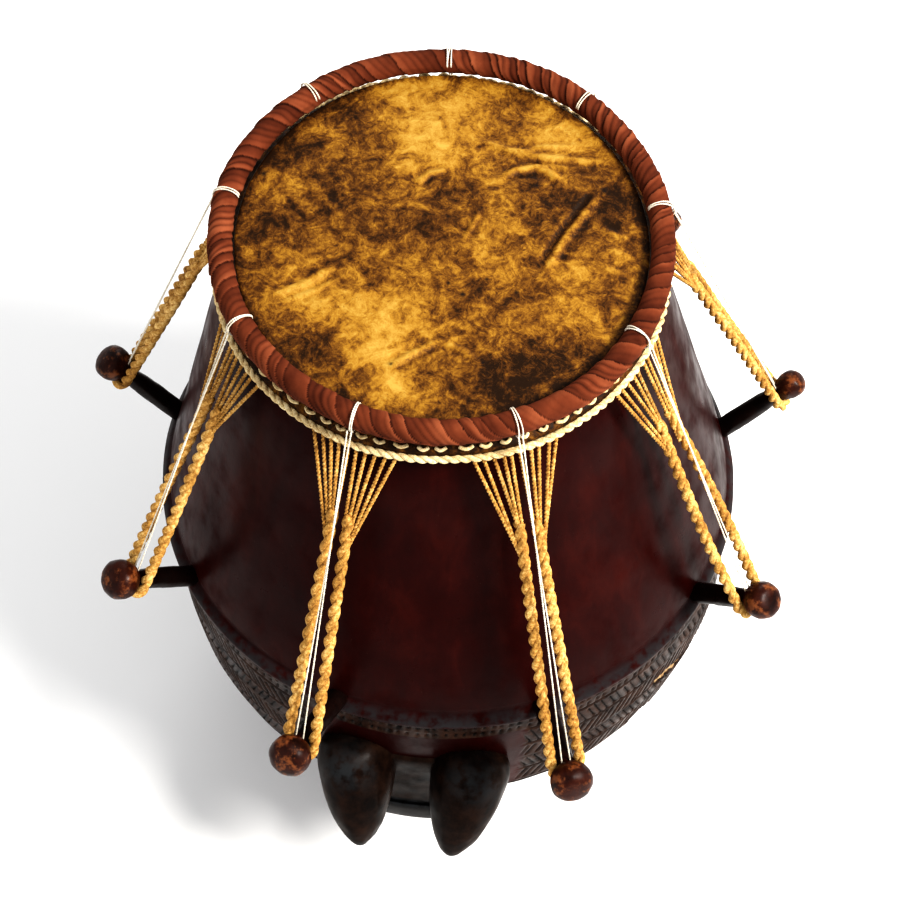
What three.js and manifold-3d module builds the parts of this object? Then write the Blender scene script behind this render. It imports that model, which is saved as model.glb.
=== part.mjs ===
// Peg-tensioned ceremonial drum: a hollow carved shell on a narrow foot, with a notched band and two
// carved breasts, a rawhide head under a cloth-wrapped hoop, and nine pegs that tension it with cords.
// Millimetres, +Z up, front along -Y. Angles run around the shell from the front, positive toward +X.
import * as THREE from 'three';
import { mergeVertices } from 'three/addons/utils/BufferGeometryUtils.js';
import Module from 'manifold-3d';

const wasm = await Module();
wasm.setup();

// ---- Driving dimensions -------------------------------------------------------------------------
const FACETS = 36;            // facets around the shell, four for each peg
const GAP = 0.3;              // clearance kept between touching pieces

const HEAD_Z = 570;           // height of the hoop's centre plane
const HEAD_TILT = 5;          // degrees that the head leans toward the front
const HEAD_SHIFT_X = -8;      // sideways offset of the head from the foot's axis
const HEAD_SHIFT_Y = 1;
const LEAN_FROM = 306;        // the shell starts leaning with the head above this height
const LEAN_TO = HEAD_Z - 12;  // and follows it fully above this one

const HOOP_OUTER_R = 150;     // outer radius of the wrapped hoop
const HOOP_TUBE_R = 8.3;
const HOOP_R = HOOP_OUTER_R - HOOP_TUBE_R;

const HIDE = 1.8;             // thickness of the rawhide
const HIDE_TOP = -3.5;        // top of the head below the hoop's centre plane
const RIM_TOP = HIDE_TOP - HIDE - GAP;
const SKIRT_R = HOOP_R - HOOP_TUBE_R - GAP;  // outer radius of the hide where it passes the hoop
const RIM_R = SKIRT_R - HIDE - GAP;          // outer radius of the shell's rim
const FLAP_R = 146;           // the hide's edge flares out to this radius under the hoop
const EDGE_CORD_Z = -26;      // height of the edge cord below the hoop's centre plane
const EDGE_CORD_R = 2.9;      // half its thickness

const RIDGE_Z = 298;          // the bevelled ridge above the notched band
const RIDGE_R = 218;
const BAND_TOP_Z = RIDGE_Z - 10;
const BAND_TOP_R = 213;
const BAND_LOW_Z = 151;       // lower edge of the notched band
const BAND_LOW_R = 207;
const FOOT_R = 118;
const FOOT_INNER_R = 100;
const WALL = 16;

const PEG_Z = 302;            // where the pegs leave the shell
const PEG_SEAT_R = 214;       // radius of the shell there
const PEG_REACH = 80;         // length of peg outside the shell
const PEG_ROOT = 24;          // length inside the wall, with its end showing in the hollow
const PEG_SHAFT_R = 7.8;
const PEG_NECK_R = 6.4;       // worn seat of the cord behind the knob
const PEG_SEAT_AT = 55;       // distance of that seat from the shell
// One row for each peg, round from the front: position, rise above level, swing off the radius
const PEGS = [
  { angle: 20, rise: 18, swing: -5, knob: 15 },
  { angle: 60, rise: 46, swing: -10, knob: 13.5 },
  { angle: 100, rise: 51, swing: -3, knob: 10.5 },
  { angle: 140, rise: 50, swing: -4, knob: 10 },
  { angle: 180, rise: 46, swing: 2, knob: 13 },
  { angle: -140, rise: 48, swing: 3, knob: 13.5 },
  { angle: -100, rise: 52, swing: 4, knob: 14 },
  { angle: -60, rise: 43, swing: 6, knob: 14.5 },
  { angle: -20, rise: 27, swing: -5, knob: 15 },
];

const STRANDS = 3;            // strands of a fan on each side
const FAN_HALF_ANGLE = 12;    // half the stretch of edge cord that a fan takes
const FAN_SHARE = 0.24;       // share of the way to the peg where the strands have joined
const STRAND_R = 1.5;
const STRAND_TOP_Z = EDGE_CORD_Z - EDGE_CORD_R - STRAND_R - GAP;
const ROPE_R = 4.2;
const LASHING_WIDTH = 4.6;    // three turns of white string side by side
const LASHING_THICK = 1.1;

const BREASTS_AT = -5;        // angle of the plane between the two breasts
const BREAST_SPREAD = 13;     // degrees from it to each breast's root
const BREAST_TIP_SPREAD = 7.2;
const BREAST_ROOT_Z = 230;
const BREAST_TIP_Z = 168;
const BREAST_TIP_R = 264;
const BREAST_HALF_WIDTH = 29;

const NOTCH_ROWS = [252, 198];  // heights of the herringbone rows
const NOTCH_LENGTH = 44;
const NOTCH_R = 4.2;
const NOTCH_SLANT = 34;
const PLAIN_HALF_ANGLE = 24;  // the band stays plain this far from the breasts' plane
const APRON_LOW_Z = 120;      // the apron hangs below the band
const APRON_TOP_Z = 230;
const APRON_LIP_Z = 147;      // top of the moulding along its lower edge
const APRON_R = 216;
const APRON_WIDTH = 90;
const APRON_DEPTH = 20;
const CHIP_AT = 50;

// ---- Materials ----------------------------------------------------------------------------------
const paint = (color, roughness) => new THREE.MeshStandardMaterial({ color, roughness, metalness: 0 });
const shellWood = paint(0x3a0f0a, 0.28);
const pegWood = paint(0x4a1c10, 0.4);
const rawhide = paint(0xb08a3c, 0.55);
const hoopCloth = paint(0x6e3a28, 0.9);
const jute = paint(0xb98a42, 0.85);
const whiteString = paint(0xe6dcc6, 0.8);

// ---- Helpers ------------------------------------------------------------------------------------
const radians = THREE.MathUtils.degToRad;

function toSolid(geometry) {
  const bare = geometry.clone();
  bare.deleteAttribute('normal');
  bare.deleteAttribute('uv');
  const merged = mergeVertices(bare, 1e-4);
  return new wasm.Manifold(new wasm.Mesh({
    numProp: 3,
    vertProperties: new Float32Array(merged.attributes.position.array),
    triVerts: new Uint32Array(merged.index.array),
  }));
}

function toGeometry(solid) {
  const mesh = solid.getMesh();
  const geometry = new THREE.BufferGeometry();
  geometry.setAttribute('position', new THREE.BufferAttribute(new Float32Array(mesh.vertProperties), 3));
  geometry.setIndex(new THREE.BufferAttribute(new Uint32Array(mesh.triVerts), 1));
  geometry.computeVertexNormals();
  return geometry;
}

const joined = (geometries) => geometries.map(toSolid).reduce((whole, piece) => whole.add(piece));

// A point at a radius, an angle around the shell and a height
function around(radius, degrees, z) {
  const a = radians(degrees);
  return new THREE.Vector3(radius * Math.sin(a), -radius * Math.cos(a), z);
}

// A closed profile of [radius, height] pairs, outer side upward, turned about the Z axis
function turned(profile, segments) {
  const points = profile.map(([r, z]) => new THREE.Vector2(r, z));
  return new THREE.LatheGeometry(points, segments).rotateX(Math.PI / 2);
}

// Points along a smooth curve through a few [radius, height] stations
function smooth(stations, count) {
  const curve = new THREE.SplineCurve(stations.map(([r, z]) => new THREE.Vector2(r, z)));
  return curve.getPoints(count).map((p) => [p.x, p.y]);
}

// A straight rod between two points
function rod(from, to, radius, sides) {
  const along = to.clone().sub(from);
  const geometry = new THREE.CylinderGeometry(radius, radius, along.length(), sides);
  geometry.applyQuaternion(new THREE.Quaternion().setFromUnitVectors(
    new THREE.Vector3(0, 1, 0), along.clone().normalize()));
  return geometry.translate(...from.clone().add(to).multiplyScalar(0.5).toArray());
}

// The head's own frame: its plane through HEAD_Z, leaning to the front and a little off the axis
const headFrame = new THREE.Matrix4().makeRotationX(radians(HEAD_TILT));
headFrame.setPosition(HEAD_SHIFT_X, HEAD_SHIFT_Y, HEAD_Z);

// Carries a point of the upright shell along as the shell bends over to meet the leaning head
function lean(point) {
  const share = THREE.MathUtils.smoothstep(point.z, LEAN_FROM, LEAN_TO);
  const leaning = point.clone().sub(new THREE.Vector3(0, 0, HEAD_Z)).applyMatrix4(headFrame);
  return point.lerp(leaning, share);
}

function leanGeometry(geometry) {
  const position = geometry.attributes.position;
  for (let i = 0; i < position.count; i += 1) {
    const point = lean(new THREE.Vector3().fromBufferAttribute(position, i));
    position.setXYZ(i, point.x, point.y, point.z);
  }
  return geometry;
}

// ---- Shell --------------------------------------------------------------------------------------
function shellBody() {
  const outerWall = smooth([[211, 306], [202, 338], [184, 396], [166, 454], [148, 512], [RIM_R, 548]], 6);
  const outerFoot = smooth([[FOOT_R, 8], [103, 34], [94, 66], [104, 97], [150, 123], [192, 142]], 7);
  const innerWall = [[RIM_R - WALL, HEAD_Z - 24], [149, 454], [186, 338], [196, 291], [194, 190]];
  const innerFoot = [[184, 160], [146, 140], [92, 110], [78, 70], [88, 30], [FOOT_INNER_R, 0]];
  return leanGeometry(turned([
    [FOOT_R, 0], ...outerFoot,
    [BAND_LOW_R - 3, BAND_LOW_Z - 4], [BAND_LOW_R, BAND_LOW_Z], [BAND_TOP_R, BAND_TOP_Z],
    [RIDGE_R - 1, RIDGE_Z - 6], [RIDGE_R, RIDGE_Z], [RIDGE_R - 2, RIDGE_Z + 3],
    ...outerWall, [RIM_R, HEAD_Z + RIM_TOP], [RIM_R - WALL, HEAD_Z + RIM_TOP],
    ...innerWall, ...innerFoot, [FOOT_R, 0],
  ], FACETS));
}

// A pointed breast: rounds that shrink from the wall to the tip along a line bent toward the middle
function breast(side) {
  const root = around(BAND_LOW_R - 6, BREASTS_AT + side * BREAST_SPREAD, BREAST_ROOT_Z);
  const tip = around(BREAST_TIP_R, BREASTS_AT + side * BREAST_TIP_SPREAD, BREAST_TIP_Z);
  const length = root.distanceTo(tip);
  const profile = [[0, 0], [1, 0], [1, 0.18], [0.96, 0.36], [0.84, 0.56], [0.62, 0.76], [0.36, 0.91],
    [0.15, 0.98], [0, 1]].map(([r, t]) => [r * BREAST_HALF_WIDTH, t * length]);
  const geometry = turned(profile, 12);
  geometry.scale(1, 1.22, 1);
  const forward = tip.clone().sub(root).normalize();
  const sideways = around(1, BREASTS_AT + side * BREAST_SPREAD + 90, 0);
  const upward = new THREE.Vector3().crossVectors(forward, sideways).normalize();
  const across = new THREE.Vector3().crossVectors(upward, forward);
  geometry.applyMatrix4(new THREE.Matrix4().makeBasis(across, upward, forward).setPosition(root));
  return geometry;
}

// A flat-fronted block between the breasts, its front face on the given radius
function block(width, frontR, lowZ, topZ) {
  const geometry = new THREE.BoxGeometry(width, APRON_DEPTH, topZ - lowZ);
  const centre = around(frontR - APRON_DEPTH / 2, BREASTS_AT, (lowZ + topZ) / 2);
  return geometry.rotateZ(radians(BREASTS_AT)).translate(...centre.toArray());
}

// V-grooves in rows around the band, each row slanting the other way
function* notches() {
  const step = 360 / FACETS;
  for (const [row, z] of NOTCH_ROWS.entries()) {
    for (let i = 0; i < FACETS; i += 1) {
      const angle = (i + 0.5) * step - 180;
      if (Math.abs(angle - BREASTS_AT) > PLAIN_HALF_ANGLE) {
        const geometry = new THREE.CylinderGeometry(NOTCH_R, NOTCH_R, NOTCH_LENGTH, 3);
        geometry.rotateX(-Math.PI / 2).rotateY(radians(row % 2 ? NOTCH_SLANT : -NOTCH_SLANT));
        const radius = THREE.MathUtils.mapLinear(z, BAND_LOW_Z, BAND_TOP_Z, BAND_LOW_R, BAND_TOP_R);
        const centre = around(radius, angle, z);
        yield geometry.rotateZ(radians(angle)).translate(...centre.toArray());
      }
    }
  }
}

// The piece broken out of the band's lower edge on the right
function chip() {
  const centre = around(BAND_LOW_R + 2, CHIP_AT, BAND_LOW_Z);
  return new THREE.OctahedronGeometry(12).scale(1, 0.7, 1.4).rotateZ(radians(CHIP_AT))
    .translate(...centre.toArray());
}

function drumShell() {
  let solid = toSolid(shellBody());
  const hollow = toSolid(turned([[0, 165], [190, 165], [194, 190], [196, 291], [150, 450], [0, 450]], FACETS));
  const apron = [block(APRON_WIDTH, APRON_R, APRON_LIP_Z - 8, APRON_TOP_Z),
    block(APRON_WIDTH + 5, APRON_R + 3, APRON_LOW_Z, APRON_LIP_Z)];
  const carving = [breast(-1), breast(1), ...apron].map((geometry) => toSolid(geometry).subtract(hollow));
  for (const piece of carving) {
    solid = solid.add(piece);
  }
  for (const cut of [...notches(), chip()]) {
    solid = solid.subtract(toSolid(cut));
  }
  for (const peg of PEGS) {
    solid = solid.subtract(toSolid(pegHole(peg)));
  }
  return toGeometry(solid);
}

// ---- Head, hoop and edge cord, in the head's frame ----------------------------------------------
function drumHead() {
  const skirtLow = EDGE_CORD_Z + 10;
  const flapLow = EDGE_CORD_Z + EDGE_CORD_R + GAP;
  return turned([
    [0, HIDE_TOP - HIDE], [SKIRT_R - HIDE, HIDE_TOP - HIDE], [SKIRT_R - HIDE, skirtLow - 1.4],
    [FLAP_R - HIDE, flapLow], [FLAP_R, flapLow], [SKIRT_R, skirtLow], [SKIRT_R, HIDE_TOP - 0.8],
    [SKIRT_R - 0.8, HIDE_TOP], [0, HIDE_TOP],
  ], FACETS);
}

function ring(radius, tube, sides, z) {
  return new THREE.TorusGeometry(radius, tube, sides, FACETS).translate(0, 0, z);
}

// A C-shaped band of string over the top and outside of the hoop
function lashingBand(angle) {
  const inner = (HOOP_TUBE_R + GAP) / Math.cos(Math.PI / 14);
  const outer = inner + LASHING_THICK;
  const shape = new THREE.Shape();
  const [start, end] = [radians(-105), radians(150)];
  shape.absarc(0, 0, outer, start, end, false);
  shape.absarc(0, 0, inner, end, start, true);
  const geometry = new THREE.ExtrudeGeometry(shape, { depth: LASHING_WIDTH, bevelEnabled: false, curveSegments: 4 });
  geometry.translate(0, 0, -LASHING_WIDTH / 2).rotateX(Math.PI / 2).rotateZ(radians(angle - 90));
  return geometry.translate(...around(HOOP_R, angle, 0).toArray()).applyMatrix4(headFrame);
}

// ---- Pegs ---------------------------------------------------------------------------------------
function pegAxis({ angle, rise, swing }) {
  const outward = around(1, angle + swing, 0);
  return outward.multiplyScalar(Math.cos(radians(rise))).setZ(Math.sin(radians(rise)));
}

const pegPoint = (peg, distance) => around(PEG_SEAT_R, peg.angle, PEG_Z).addScaledVector(pegAxis(peg), distance);

// Stands a shape made along +Z on the peg's axis, its zero where the peg leaves the shell
function onPeg(geometry, peg, distance) {
  const turn = new THREE.Quaternion().setFromUnitVectors(new THREE.Vector3(0, 0, 1), pegAxis(peg));
  return geometry.applyQuaternion(turn).translate(...pegPoint(peg, distance).toArray());
}

function pegHole(peg) {
  const bore = new THREE.CylinderGeometry(PEG_SHAFT_R + GAP, PEG_SHAFT_R + GAP, 90, 8).rotateX(Math.PI / 2);
  return onPeg(bore, peg, 0);
}

function pegBody(peg) {
  const knobBack = PEG_SEAT_AT + ROPE_R + 1;
  const tip = PEG_REACH;
  return onPeg(turned([
    [0, -PEG_ROOT], [PEG_SHAFT_R, -PEG_ROOT], [PEG_SHAFT_R, PEG_SEAT_AT - 12],
    [PEG_NECK_R, PEG_SEAT_AT - 5], [PEG_NECK_R, knobBack - 1], [peg.knob * 0.9, knobBack + 4],
    [peg.knob, (knobBack + tip) / 2 + 2], [peg.knob * 0.7, tip - 2], [0, tip],
  ], 8), peg, 0);
}

// ---- Tension cords and strings ------------------------------------------------------------------
// Where a peg's strands join into its two legs, and the directions across and along them
function cordRun(peg) {
  const top = around(FLAP_R + 1, peg.angle, STRAND_TOP_Z).applyMatrix4(headFrame);
  const seat = pegPoint(peg, PEG_SEAT_AT);
  const down = seat.clone().sub(top).normalize();
  const across = new THREE.Vector3().crossVectors(pegAxis(peg), down).normalize();
  return { seat, down, across, join: top.lerp(seat, FAN_SHARE) };
}

// A fan of strands from the edge cord, joined into two legs that meet in a bight under the peg's neck
function tensionCord(peg) {
  const { seat, down, across, join } = cordRun(peg);
  const reach = PEG_NECK_R + GAP + ROPE_R + 0.6;
  const bight = seat.clone().addScaledVector(down, reach);
  const bightEnds = [-1, 1].map((side) => bight.clone().addScaledVector(across, side * (reach + ROPE_R * 0.5)));
  const pieces = [rod(...bightEnds, ROPE_R, 4)];
  for (const side of [-1, 1]) {
    const legTop = join.clone().addScaledVector(across, side * reach * 0.6);
    pieces.push(rod(legTop, bight.clone().addScaledVector(across, side * reach), ROPE_R, 4));
    for (let i = 0; i < STRANDS; i += 1) {
      const angle = peg.angle + side * FAN_HALF_ANGLE * ((i + 0.5) / STRANDS);
      const from = around(FLAP_R + 1, angle, STRAND_TOP_Z).applyMatrix4(headFrame);
      const into = legTop.clone().addScaledVector(across, side * (i - 1) * STRAND_R * 1.7);
      pieces.push(rod(from, into.addScaledVector(down, ROPE_R), STRAND_R, 3));
    }
  }
  return toGeometry(joined(pieces));
}

function lashing(peg) {
  return toGeometry(toSolid(lashingBand(peg.angle)));
}

// ---- Assembly -----------------------------------------------------------------------------------
const drum = new THREE.Group();

function add(name, geometry, material, parent = drum) {
  const mesh = new THREE.Mesh(geometry, material);
  mesh.name = name;
  parent.add(mesh);
}

add('drum_shell', drumShell(), shellWood);

const head = new THREE.Group();
head.applyMatrix4(headFrame);
drum.add(head);
add('drum_head', drumHead(), rawhide, head);
add('hoop', ring(HOOP_R, HOOP_TUBE_R, 8, 0), hoopCloth, head);
add('edge_cord', ring(FLAP_R + 1, EDGE_CORD_R, 4, EDGE_CORD_Z), jute, head);

PEGS.forEach((peg, index) => {
  const number = index + 1;
  add(`peg_${number}`, pegBody(peg), pegWood);
  add(`tension_cord_${number}`, tensionCord(peg), jute);
  add(`lashing_${number}`, lashing(peg), whiteString);
});

// The origin is under the middle of the whole drum, on the surface that it stands on
const box = new THREE.Box3().setFromObject(drum);
const middle = box.getCenter(new THREE.Vector3());
drum.position.set(-middle.x, -middle.y, 0);

export default drum;
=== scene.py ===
import math

import bpy
import numpy as np
from mathutils import Matrix, Vector


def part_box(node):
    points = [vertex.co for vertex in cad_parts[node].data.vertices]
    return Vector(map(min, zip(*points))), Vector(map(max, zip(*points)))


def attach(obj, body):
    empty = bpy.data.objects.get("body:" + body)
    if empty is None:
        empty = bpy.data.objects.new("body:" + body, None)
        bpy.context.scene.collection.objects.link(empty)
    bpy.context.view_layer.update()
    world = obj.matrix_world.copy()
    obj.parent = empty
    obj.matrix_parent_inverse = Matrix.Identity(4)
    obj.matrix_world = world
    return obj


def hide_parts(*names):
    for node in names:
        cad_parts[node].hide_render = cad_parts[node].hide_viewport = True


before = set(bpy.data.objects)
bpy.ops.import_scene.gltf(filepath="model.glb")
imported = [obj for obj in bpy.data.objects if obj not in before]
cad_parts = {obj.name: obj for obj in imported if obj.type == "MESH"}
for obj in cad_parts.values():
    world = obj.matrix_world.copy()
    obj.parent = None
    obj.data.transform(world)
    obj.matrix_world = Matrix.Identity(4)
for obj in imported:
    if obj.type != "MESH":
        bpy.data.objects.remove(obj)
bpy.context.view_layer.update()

MM = 0.001
TAU = 2 * math.pi

# ---- The drum's dimensions, as in the solids -----------------------------------------------------
HEAD_Z = 570
HEAD_TILT = math.radians(5)
HEAD_SHIFT = np.array([-8, 1, HEAD_Z])
LEAN_FROM, LEAN_TO = 306, HEAD_Z - 12

HOOP_TUBE_R = 8.3
HOOP_R = 150 - HOOP_TUBE_R
HIDE = 1.8
HIDE_TOP = -3.5
GAP = 0.3
SKIRT_R = HOOP_R - HOOP_TUBE_R - GAP
RIM_R = SKIRT_R - HIDE - GAP
RIM_TOP = HIDE_TOP - HIDE - GAP
FLAP_R = 146
EDGE_CORD_Z = -26
EDGE_CORD_R, EDGE_CORD_PITCH = 2.9, 13.5
STITCH_R, STITCH_Z = 1.25, -18.6

RIDGE_Z, RIDGE_R = 298, 218
BAND_TOP_Z, BAND_TOP_R = 288, 213
BAND_LOW_Z, BAND_LOW_R = 151, 207
FOOT_R, FOOT_INNER_R = 118, 100
WALL = 16

PEG_Z, PEG_SEAT_R = 302, 214
PEG_REACH, PEG_ROOT = 80, 20
PEG_SHAFT_R, PEG_NECK_R = 7.8, 6.4
PEG_SEAT_AT = 55
# Position round the shell, rise above level, swing off the radius, knob radius
PEGS = [(20, 18, -5, 15), (60, 46, -10, 13.5), (100, 51, -3, 10.5), (140, 50, -4, 10), (180, 46, 2, 13),
        (-140, 48, 3, 13.5), (-100, 52, 4, 14), (-60, 43, 6, 14.5), (-20, 27, -5, 15)]

FAN_HALF_ANGLE = 12
FAN_SHARE = 0.24
FAN_STRANDS = 5               # on each side
STRAND_R, STRAND_PITCH = 1.45, 5.6
ROPE_R = 4.2
LASHING_STRING_R, LASHING_PITCH = 0.72, 2.6
STRING_R, STRING_PITCH = 0.75, 4.0

BREASTS_AT = -5
BREAST_SPREAD, BREAST_TIP_SPREAD = 13, 7.2
BREAST_ROOT_Z, BREAST_TIP_Z = 230, 168
BREAST_TIP_R, BREAST_HALF_WIDTH = 264, 29
BREAST_TALLNESS = 1.22        # height over width
APRON_LIP_Z = 147
PLAIN_HALF_ANGLE = 24
DOTS_FROM_Z = 266              # the two rows of dots under the ridge go all round

# The foot's axis in the row's frame: the ridge is the widest round part of the shell
shell_low, shell_high = (np.array(corner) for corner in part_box("drum_shell"))
AXIS = np.array([(shell_low[0] + shell_high[0]) / 2, shell_high[1] - RIDGE_R * MM, 0])

# Cords of two plies, each a little thicker than half the cord because they press together
PLIES, PLY_SHARE = 2, 0.56
OFF_AXIS = [0.31, 0.57, 0.76]  # no path starts along this direction


# ---- Geometry helpers ----------------------------------------------------------------------------
def around(radius, degrees, z):
    """Points at a radius, an angle round the shell from the front and a height."""
    a = np.radians(degrees)
    radius, a, z = np.broadcast_arrays(radius, a, z)
    return np.stack([radius * np.sin(a), -radius * np.cos(a), z], -1).astype(float)


def in_head(points):
    """Points of the head's own frame, in the drum's frame."""
    c, s = math.cos(HEAD_TILT), math.sin(HEAD_TILT)
    turn = np.array([[1, 0, 0], [0, c, -s], [0, s, c]])
    return points @ turn.T + HEAD_SHIFT


def lean(points):
    """Bends the upright shell over to meet the leaning head."""
    t = np.clip((points[..., 2:3] - LEAN_FROM) / (LEAN_TO - LEAN_FROM), 0, 1)
    share = t * t * (3 - 2 * t)
    return points + share * (in_head(points - [0, 0, HEAD_Z]) - points)


def smooth(stations, count):
    """Points along a Catmull-Rom curve through a few (radius, height) stations."""
    p = np.array(stations, float)
    p = np.vstack([p[0], p, p[-1]])
    t = np.linspace(0, len(stations) - 1, count + 1)
    i = np.minimum(t.astype(int), len(stations) - 2)
    f = (t - i)[:, None]
    a, b, c, d = p[i], p[i + 1], p[i + 2], p[i + 3]
    square = 2 * a - 5 * b + 4 * c - d
    cube = 3 * b - a - 3 * c + d
    return 0.5 * (2 * b + (c - a) * f + square * f ** 2 + cube * f ** 3)


def ripple(points, scale, seed, octaves=3):
    """Smooth seeded noise between about -1 and 1, with features of about scale millimetres."""
    rng = np.random.default_rng(seed)
    total = np.zeros(points.shape[:-1])
    for octave in range(octaves):
        for _ in range(6):
            direction = rng.normal(size=3)
            direction *= TAU * 2 ** octave / (scale * np.linalg.norm(direction))
            total += np.sin(points @ direction + rng.uniform(0, TAU)) / 2 ** octave
    return total / 4.5


def to_mesh(name, points, faces, material, tones=None):
    """An object from points in millimetres. tones are named values for each point, read by the materials."""
    mesh = bpy.data.meshes.new(name)
    mesh.from_pydata((points.reshape(-1, 3) * MM + AXIS).tolist(), [], faces)
    for key, values in (tones or {}).items():
        layer = mesh.attributes.new(key, "FLOAT", "POINT")
        layer.data.foreach_set("value", np.ascontiguousarray(values, dtype=np.float32).ravel())
    mesh.polygons.foreach_set("use_smooth", [True] * len(mesh.polygons))
    mesh.materials.append(material)
    piece = bpy.data.objects.new(name, mesh)
    bpy.context.scene.collection.objects.link(piece)
    return piece


def grid_faces(rows, columns, wrap_rows=False, wrap_columns=True):
    """Quads of a grid of points whose columns run round, facing out where rows run up."""
    r = np.arange(rows if wrap_rows else rows - 1)
    c = np.arange(columns if wrap_columns else columns - 1)
    r, c = np.meshgrid(r, c, indexing="ij")
    r2, c2 = (r + 1) % rows, (c + 1) % columns
    quads = np.stack([r * columns + c, r * columns + c2, r2 * columns + c2, r2 * columns + c], -1)
    return quads.reshape(-1, 4).tolist()


def revolve(profile, columns):
    """Rings of points, one for each (radius, height) of the profile."""
    profile = np.array(profile, float)
    angles = np.linspace(-180, 180, columns, endpoint=False)
    return around(profile[:, :1], angles[None], profile[:, 1:])


def frames_along(path):
    """A sideways and an upward direction at each point of a path, turning with it."""
    ahead = np.gradient(path, axis=0)
    ahead /= np.linalg.norm(ahead, axis=1, keepdims=True)
    side = np.cross(ahead[0], OFF_AXIS)
    out = np.empty_like(path)
    for i in range(len(path)):
        side = side - ahead[i] * (side @ ahead[i])
        side /= np.linalg.norm(side)
        out[i] = side
    return out, np.cross(ahead, out)


def tube(path, radius, sides):
    """Points and faces of a round tube along a path, with flat ends."""
    n = len(path)
    side, up = frames_along(path)
    a = np.linspace(0, TAU, sides, endpoint=False)[None, :, None]
    points = path[:, None] + radius * (np.cos(a) * side[:, None] + np.sin(a) * up[:, None])
    faces = grid_faces(n, sides)
    faces.append(list(range(sides))[::-1])
    faces.append(list(range((n - 1) * sides, n * sides)))
    return points.reshape(-1, 3), faces


def twisted(path, radius, pitch, sides, phase=0.0):
    """Two plies laid round each other along a path: a list of (points, faces)."""
    steps = np.linalg.norm(np.diff(path, axis=0), axis=1)
    length = np.concatenate([[0], np.cumsum(steps)])
    side, up = frames_along(path)
    ply_r = PLY_SHARE * radius
    offset = radius - ply_r
    parts = []
    for ply in range(PLIES):
        a = (TAU * (length / pitch + ply / PLIES) + phase)[:, None]
        centre = path + offset * (np.cos(a) * side + np.sin(a) * up)
        parts.append(tube(centre, ply_r, sides))
    return parts


def merge(parts):
    """One list of points and one of faces from several."""
    points, faces, start = [], [], 0
    for part_points, part_faces in parts:
        points.append(part_points)
        faces += [[index + start for index in face] for face in part_faces]
        start += len(part_points)
    return np.concatenate(points), faces


def line(a, b, spacing):
    """Points from a to b at about the given spacing."""
    count = max(2, int(np.linalg.norm(np.subtract(b, a)) / spacing) + 1)
    return np.asarray(a, float) + np.linspace(0, 1, count)[:, None] * np.subtract(b, a)


def belongs(piece, slot, *nodes):
    """Makes a piece part of the drum's one body, standing for some nodes, which it hides; the slot is not
    used.
    """
    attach(piece, "root")
    if nodes:
        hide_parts(*nodes)


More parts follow.
